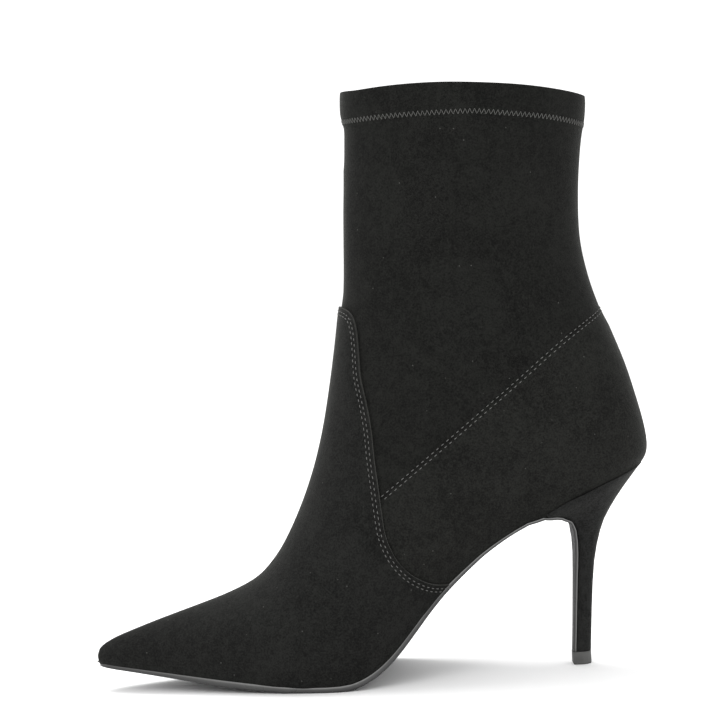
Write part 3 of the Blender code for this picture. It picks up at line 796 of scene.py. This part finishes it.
even_seam = even(seam_line, LINE_STEP)
seam_rise = SEAM_LIFT + THREAD_RISE
laid = []
for turn, side in enumerate((1, -1)):
    row = beside(even_seam, full_surface, ROW_FROM_SEAM * MM, side)
    depths = within(vamp_outline, np.array([list(point) for point in row]))
    row = [point for point, depth in zip(row, depths) if depth < -CLEAR_OF_VAMP]
    breaks = [at for at in range(1, len(row)) if (row[at] - row[at - 1]).length > LONGEST_STEP]
    for first, last in zip([0, *breaks], [*breaks, len(row)]):
        part = row[first:last]
        laid += row_of_stitches(part, full_surface, SEAM_PITCH, ROW_SHARE, seam_rise, ROW_THREAD, 0.5 * turn)
seam_stitches = joined("seam_stitches", stitch, laid)
seam_stitches.data.materials.append(grey_thread)
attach(seam_stitches, "root")


# The hem's zigzag
# The folded top edge is held by a zigzag stitch of light polyester thread all round, so that it
# can stretch with the shaft. It is sewn by machine through the fold and the shaft's wall.

ZIGZAG_STEP = 1.0 * MM
ZIGZAG_HALF = 1.15 * MM
ZIGZAG_THREAD = 0.24 * MM
ZIGZAG_RISE = 0.12 * MM
# The zigzag's middle in the side view, in millimetres, from the front to the back
ZIGZAG = [
    (-20, 242.3), (0.4, 242.9), (22.4, 243.5), (51.5, 243.3), (64.1, 242.0),
    (81.4, 239.9), (90.4, 238.4), (100.1, 236.3), (115, 233),
]

zigzag_line = smooth_line(ZIGZAG)
hem_line = trim(whole_skin, lambda points: points[:, 2] - np.interp(points[:, 0], *zigzag_line.T))
upper_points = [vertex.co.copy() for vertex in upper.data.vertices]
note_distance(upper, "from_seam", distance_to(seam_line, upper_points))
note_distance(upper, "from_hem", distance_to([*hem_line, hem_line[0]], upper_points))
bpy.data.objects.remove(whole_skin)
marks = even(hem_line, ZIGZAG_STEP, closed=True)[:-1]
if len(marks) % 2:
    marks = even(hem_line, ZIGZAG_STEP * len(marks) / (len(marks) + 1), closed=True)[:-1]
points = []
for number, at in enumerate(marks):
    along = (marks[(number + 1) % len(marks)] - marks[number - 1]).normalized()
    normal = full_surface.find_nearest(at)[1]
    across = normal.cross(along).normalized()
    across = across if across.z > 0 else -across
    points.append(full_surface.find_nearest(at + across * ZIGZAG_HALF * (1 if number % 2 else -1))[0])
laid = []
for start, end in zip(points, [*points[1:], points[0]]):
    laid.append(lay_stitch(start, end, full_surface, ZIGZAG_RISE, ZIGZAG_THREAD))
zigzag = joined("hem_zigzag", stitch, laid)
zigzag.data.materials.append(thread("light grey thread", (0.1, 0.1, 0.094)))
bpy.data.objects.remove(stitch)
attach(zigzag, "root")

upper.data.materials.clear()
upper_rows = [("from_seam", ROW_FROM_SEAM, 0.5, 0.1), ("from_seam", 0, 0.3, 0.14), ("from_hem", 0, 1.8, 0.2)]
# The shaft's suede is the darkest copy of the black suede: painted shade on the shaft.
upper_suede = suede("black suede", (0.0064, 0.0066, 0.0059), 0.09, upper_rows)
for finish in (upper_suede, lining_cloth(), upper_suede):
    upper.data.materials.append(finish)


# The insole
# The board under the foot, pressed to the last's bottom, with a thin leather sock glued over it.
# It is seen only through the shaft's mouth.

insole = piece_from("insole", "insole_sock")


def crisp(piece, angle, weight):
    """Keeps the edges of a piece that turn by more than an angle crisp when it is subdivided."""
    body = bmesh.new()
    body.from_mesh(piece.data)
    crease = body.edges.layers.float.new("crease_edge")
    for edge in body.edges:
        if edge.calc_face_angle(0) > angle:
            edge[crease] = weight
    body.to_mesh(piece.data)
    body.free()


def smooth_leather(name, colour, roughness, grain, scuffs=0.0):
    """Finished leather or its inked edge: a fine grain under a gloss, scuffed in patches by wear."""
    made = bpy.data.materials.new(name)
    made.use_nodes = True
    nodes = made.node_tree.nodes
    link = made.node_tree.links.new
    shader = nodes["Principled BSDF"]
    shader.inputs["Specular IOR Level"].default_value = 0.5
    where = nodes.new("ShaderNodeTexCoord").outputs["Object"]
    pores = nodes.new("ShaderNodeTexVoronoi")
    pores.inputs["Scale"].default_value = 1500
    link(where, pores.inputs["Vector"])
    cloud = nodes.new("ShaderNodeTexNoise")
    cloud.inputs["Scale"].default_value = 90
    cloud.inputs["Detail"].default_value = 6
    link(where, cloud.inputs["Vector"])
    tones = nodes.new("ShaderNodeValToRGB")
    tones.color_ramp.elements[0].position = 0.3
    tones.color_ramp.elements[0].color = (*[0.75 * part for part in colour], 1)
    tones.color_ramp.elements[1].position = 0.7
    tones.color_ramp.elements[1].color = (*[1.3 * part for part in colour], 1)
    link(cloud.outputs["Fac"], tones.inputs["Fac"])
    link(tones.outputs["Color"], shader.inputs["Base Color"])
    gloss = nodes.new("ShaderNodeMapRange")
    gloss.inputs["From Min"].default_value = 0.3
    gloss.inputs["From Max"].default_value = 0.75
    gloss.inputs["To Min"].default_value = roughness
    gloss.inputs["To Max"].default_value = roughness + scuffs
    link(cloud.outputs["Fac"], gloss.inputs["Value"])
    link(gloss.outputs["Result"], shader.inputs["Roughness"])
    bump = nodes.new("ShaderNodeBump")
    bump.inputs["Strength"].default_value = grain
    bump.inputs["Distance"].default_value = 0.05 * MM
    link(pores.outputs["Distance"], bump.inputs["Height"])
    link(bump.outputs["Normal"], shader.inputs["Normal"])
    return made


crisp(insole, math.radians(50), 0.8)
refine(insole, 2)
settle(insole, ARCH_END)
insole.data.materials.append(smooth_leather("black sock leather", (0.016, 0.015, 0.015), 0.5, 0.5, 0.15))
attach(insole, "root")
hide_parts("insole")


# The outsole
# Thin black leather with a rounded, glossy inked edge, cemented under the foot and up over the
# front of the heel as a flap.

SOLE_RIM = math.radians(75)
SOLE_ROUND = 0.6 * MM
# How far from the arch's line its bend reaches in full, before it fades
ARCH_REACH = 5 * MM
# The sole's stations along the arch in the side view, in millimetres
ARCH = [(21.6, 29.75), (29.6, 38.2), (38.1, 45.75), (48.2, 53.95), (59.6, 61.4), (74.8, 69.65)]

outsole = piece_from("outsole", "outsole_leather")
body = bmesh.new()
body.from_mesh(outsole.data)
down_the_edge = body.verts.layers.float.new("down_the_edge")
groups = regions(body, lambda edge: edge.calc_face_angle(0) > SOLE_RIM)
below = min(groups[:2], key=lambda wall: sum(face.normal.z * face.calc_area() for face in wall))
for face in below:
    for vert in face.verts:
        vert[down_the_edge] = 1
for group in groups[2:]:
    for face in group:
        face.material_index = 1
body.to_mesh(outsole.data)
body.free()


def bend_along(piece, knots, reach):
    """Bends the flat facets between a piece's stations into the smooth line through them."""
    steps = 16
    soft = smooth_line(knots, steps)
    flat = MM * np.array([
        *[
            [p + (q - p) * step / steps for p, q in zip(a, b)]
            for a, b in zip(knots, knots[1:])
            for step in range(steps)
        ],
        knots[-1],
    ])
    points = places(piece.data)
    off = np.linalg.norm(points[:, None, [0, 2]] - flat[None], axis=2)
    nearest = off.argmin(axis=1)
    share = np.clip(2 - off.min(axis=1) / reach, 0, 1)
    points[:, [0, 2]] += share[:, None] * (soft - flat)[nearest]
    move_to(piece.data, points)


def inked_edge():
    """The sole's edge: black ink burnished to a gloss, with a highlight painted along its upper corner,
    shade painted down to its lower corner and more shade painted towards the toe."""
    made = smooth_leather("inked sole edge", (0.02, 0.02, 0.02), 0.25, 0.1, 0.1)
    nodes = made.node_tree.nodes
    link = made.node_tree.links.new
    height = nodes.new("ShaderNodeAttribute")
    height.attribute_name = "down_the_edge"
    # A highlight is painted on the edge's upper corner, fading into painted shade at its lower corner.
    edge_highlight_and_shade = nodes.new("ShaderNodeValToRGB")
    edge_highlight_and_shade.color_ramp.elements[0].position = 0.15
    edge_highlight_and_shade.color_ramp.elements[0].color = (0.15, 0.15, 0.147, 1)
    edge_highlight_and_shade.color_ramp.elements[1].position = 0.35
    edge_highlight_and_shade.color_ramp.elements[1].color = (0.05, 0.05, 0.049, 1)
    lowest = edge_highlight_and_shade.color_ramp.elements.new(0.85)
    lowest.color = (0.012, 0.012, 0.012, 1)
    link(height.outputs["Fac"], edge_highlight_and_shade.inputs["Fac"])
    along = nodes.new("ShaderNodeSeparateXYZ")
    link(nodes.new("ShaderNodeTexCoord").outputs["Object"], along.inputs["Vector"])
    # Shade is painted on the edge towards the toe: this factor dims the edge's colour, most at the tip.
    fresh = nodes.new("ShaderNodeMapRange")
    fresh.inputs["From Min"].default_value = -0.12
    fresh.inputs["From Max"].default_value = -0.04
    fresh.inputs["To Min"].default_value = 0.2
    link(along.outputs["X"], fresh.inputs["Value"])
    dimmed = nodes.new("ShaderNodeVectorMath")
    dimmed.operation = "SCALE"
    link(edge_highlight_and_shade.outputs["Color"], dimmed.inputs[0])
    link(fresh.outputs["Result"], dimmed.inputs["Scale"])
    link(dimmed.outputs["Vector"], nodes["Principled BSDF"].inputs["Base Color"])
    return made


finer = outsole.modifiers.new("finer", "SUBSURF")
finer.subdivision_type = "SIMPLE"
finer.levels = finer.render_levels = 2
apply_all(outsole)
bend_along(outsole, ARCH, ARCH_REACH)
round_rims(outsole, SOLE_ROUND)
settle(outsole, ARCH_END)
sole_leather = smooth_leather("black sole leather", (0.045, 0.045, 0.045), 0.65, 0.4, 0.2)
sole_leather.node_tree.nodes["Principled BSDF"].inputs["Specular IOR Level"].default_value = 0.25
outsole.data.materials.append(sole_leather)
outsole.data.materials.append(inked_edge())
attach(outsole, "root")
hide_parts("outsole")


# The heel
# A slim moulded heel with a steel core, covered in the same suede, with its breast under the
# sole's flap.

HEEL_ROUND = 0.25 * MM
# Where the tips of the heel's wings reach over the sole's edge, given as ARCH_END is
HEEL_WING = [(80, 68.5, 0, -0.9, 5), (86, 64.5, -1.0, -0.7, 4), (77, 68.3, -2.0, 0, 3)]

heel = piece_from("heel", "heel_suede")
round_rims(heel, HEEL_ROUND)
settle(heel, [*ARCH_END, *HEEL_WING])
# The heel's suede is the lightest copy of the black suede: painted light on the heel.
heel.data.materials.append(suede("black suede, heel", (0.0105, 0.0107, 0.0103), 0.1))
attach(heel, "root")
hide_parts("heel")


# The top piece
# A small lift of dense rubber, dark grey and matt. It is moulded to the heel's tip and held by a
# pin, and it stands on the floor.

LIFT_ROUND = 0.2 * MM

top_piece = piece_from("top_piece", "top_piece_rubber")
round_rims(top_piece, LIFT_ROUND)
top_piece.data.materials.append(smooth_leather("dark grey rubber", (0.062, 0.062, 0.06), 0.6, 0.8, 0.1))
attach(top_piece, "root")
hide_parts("top_piece")


# The floor, the camera and the light
# A white floor, lit evenly from all round by a pale studio with two large soft boxes. The camera
# stands where the photograph was taken from, level with the shaft's middle and a little tilted.

bpy.ops.object.select_all(action="DESELECT")
bpy.ops.mesh.primitive_plane_add(size=40)
floor = bpy.context.active_object
floor.name = "floor"
floor_paint = bpy.data.materials.new("white floor")
floor_paint.use_nodes = True
floor_shader = floor_paint.node_tree.nodes["Principled BSDF"]
floor_shader.inputs["Base Color"].default_value = (0.93, 0.93, 0.93, 1)
floor_shader.inputs["Roughness"].default_value = 0.7
floor_shader.inputs["Specular IOR Level"].default_value = 0.2
floor.data.materials.append(floor_paint)

CAMERA_PLACE = Vector((-0.00029145, -1.0, 0.2))
CAMERA_PITCH = math.radians(3.476)
CAMERA_ROLL = math.radians(3.275)
FOCAL_PIXELS = 2288.33
PICTURE_PIXELS = 720
SENSOR_WIDTH = 36
camera_data = bpy.data.cameras.new("camera")
camera_data.sensor_width = SENSOR_WIDTH
camera_data.lens = FOCAL_PIXELS / PICTURE_PIXELS * SENSOR_WIDTH
camera = bpy.data.objects.new("camera", camera_data)
bpy.context.scene.collection.objects.link(camera)
look = Matrix.Rotation(math.pi / 2 - CAMERA_PITCH, 4, "X")
camera.matrix_world = Matrix.Translation(CAMERA_PLACE) @ look @ Matrix.Rotation(-CAMERA_ROLL, 4, "Z")
bpy.context.scene.camera = camera
bpy.context.scene.view_settings.view_transform = "Standard"

world = bpy.data.worlds.new("studio")
bpy.context.scene.world = world
world.use_nodes = True
world.node_tree.nodes["Background"].inputs["Color"].default_value = (1, 1, 1, 1)
world.node_tree.nodes["Background"].inputs["Strength"].default_value = 1.25


def soft_box(name, place, aim, size, power):
    """A round area light at a place, turned towards its aim."""
    lamp = bpy.data.lights.new(name, "AREA")
    lamp.shape = "DISK"
    lamp.size = size
    lamp.energy = power
    box = bpy.data.objects.new(name, lamp)
    bpy.context.scene.collection.objects.link(box)
    box.location = place
    box.rotation_euler = (Vector(aim) - Vector(place)).to_track_quat("-Z", "Y").to_euler()


soft_box("front box", (-0.9, -1.5, 1.3), (0, 0, 0.1), 1.2, 8)
soft_box("top box", (-0.4, 0.5, 1.8), (0, 0, 0.1), 1.2, 24)
